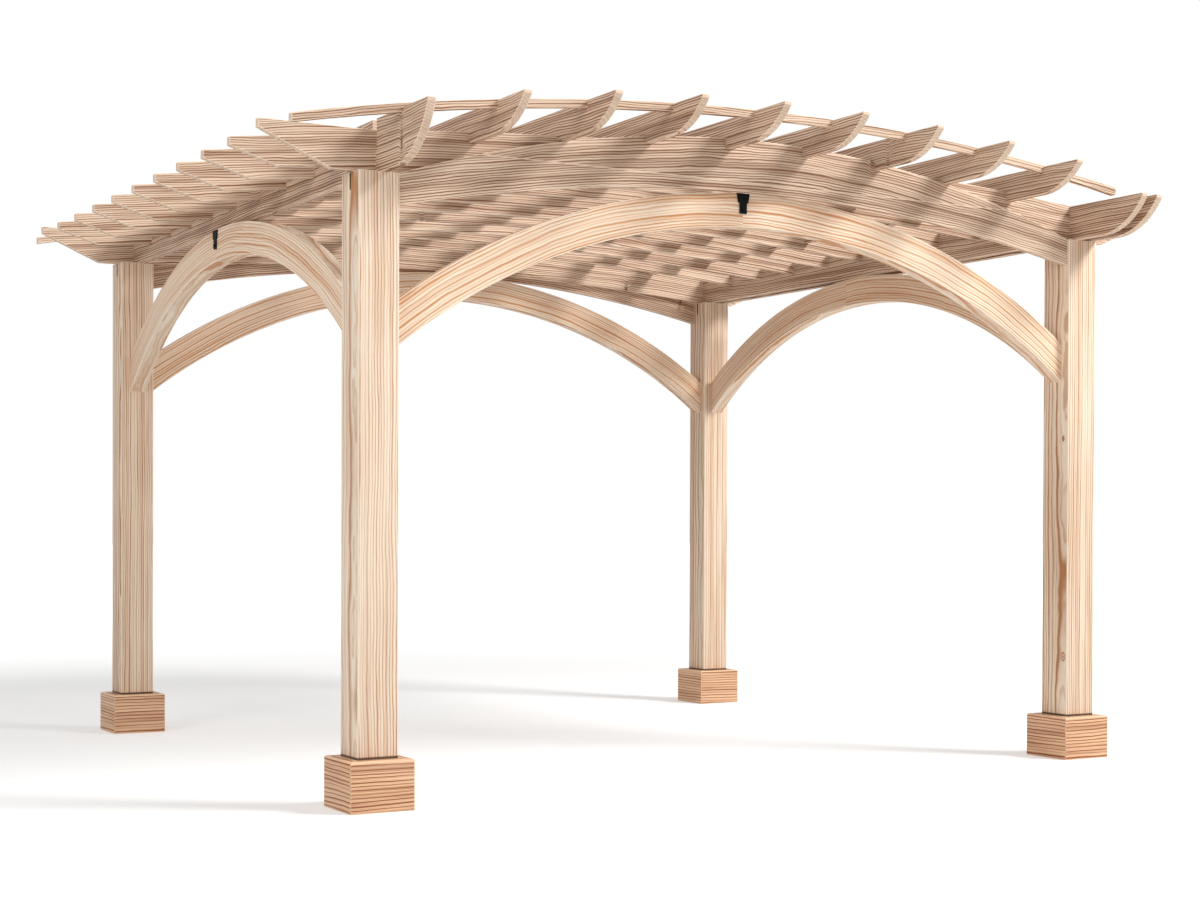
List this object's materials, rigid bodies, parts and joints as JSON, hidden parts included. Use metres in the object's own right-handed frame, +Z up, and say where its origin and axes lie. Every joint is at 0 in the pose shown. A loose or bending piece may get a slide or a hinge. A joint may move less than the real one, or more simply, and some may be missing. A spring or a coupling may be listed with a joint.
{
  "type": "wooden garden pergola",
  "caption": "Free-standing timber pergola on square posts, with arched braces and a barrel-shaped roof of half-lapped crossing boards with shaped tails.",
  "frame": {"origin": "ground level, in the middle of the object's footprint", "axes": "+X along the front from left to right, +Y from front to rear, +Z up"},
  "size_m": [5.113, 4.699, 3.176],
  "materials": {
    "frame_wood": "planed softwood, unfinished",
    "roof_wood": "planed softwood, unfinished",
    "base_wood": "planed softwood, unfinished",
    "black_steel": "black powder coat, satin"
  },
  "bodies": {
    "root": {"base_trim_front_left": "base_wood", "base_trim_front_right": "base_wood", "base_trim_rear_left": "base_wood", "base_trim_rear_right": "base_wood", "cross_board_1": "roof_wood", "cross_board_2": "roof_wood", "cross_board_3": "roof_wood", "cross_board_4": "roof_wood", "cross_board_5": "roof_wood", "cross_board_6": "roof_wood", "cross_board_7": "roof_wood", "cross_board_8": "roof_wood", "cross_board_9": "roof_wood", "crown_plates": "black_steel", "front_arch_lower": "roof_wood", "front_arch_upper": "roof_wood", "front_batten": "roof_wood", "front_brace_left": "frame_wood", "front_brace_right": "frame_wood", "front_header": "roof_wood", "left_brace_front": "frame_wood", "left_brace_rear": "frame_wood", "left_rim_beam": "roof_wood", "post_front_left": "frame_wood", "post_front_right": "frame_wood", "post_rear_left": "frame_wood", "post_rear_right": "frame_wood", "rafter_1": "roof_wood", "rafter_2": "roof_wood", "rafter_3": "roof_wood", "rafter_4": "roof_wood", "rafter_5": "roof_wood", "rafter_6": "roof_wood", "rafter_7": "roof_wood", "rafter_8": "roof_wood", "rear_arch_lower": "roof_wood", "rear_arch_upper": "roof_wood", "rear_batten": "roof_wood", "rear_brace_left": "frame_wood", "rear_brace_right": "frame_wood", "rear_header": "roof_wood", "right_brace_front": "frame_wood", "right_brace_rear": "frame_wood", "right_outer_rim_beam": "roof_wood", "right_rim_beam": "roof_wood"}
  },
  "joints": []
}
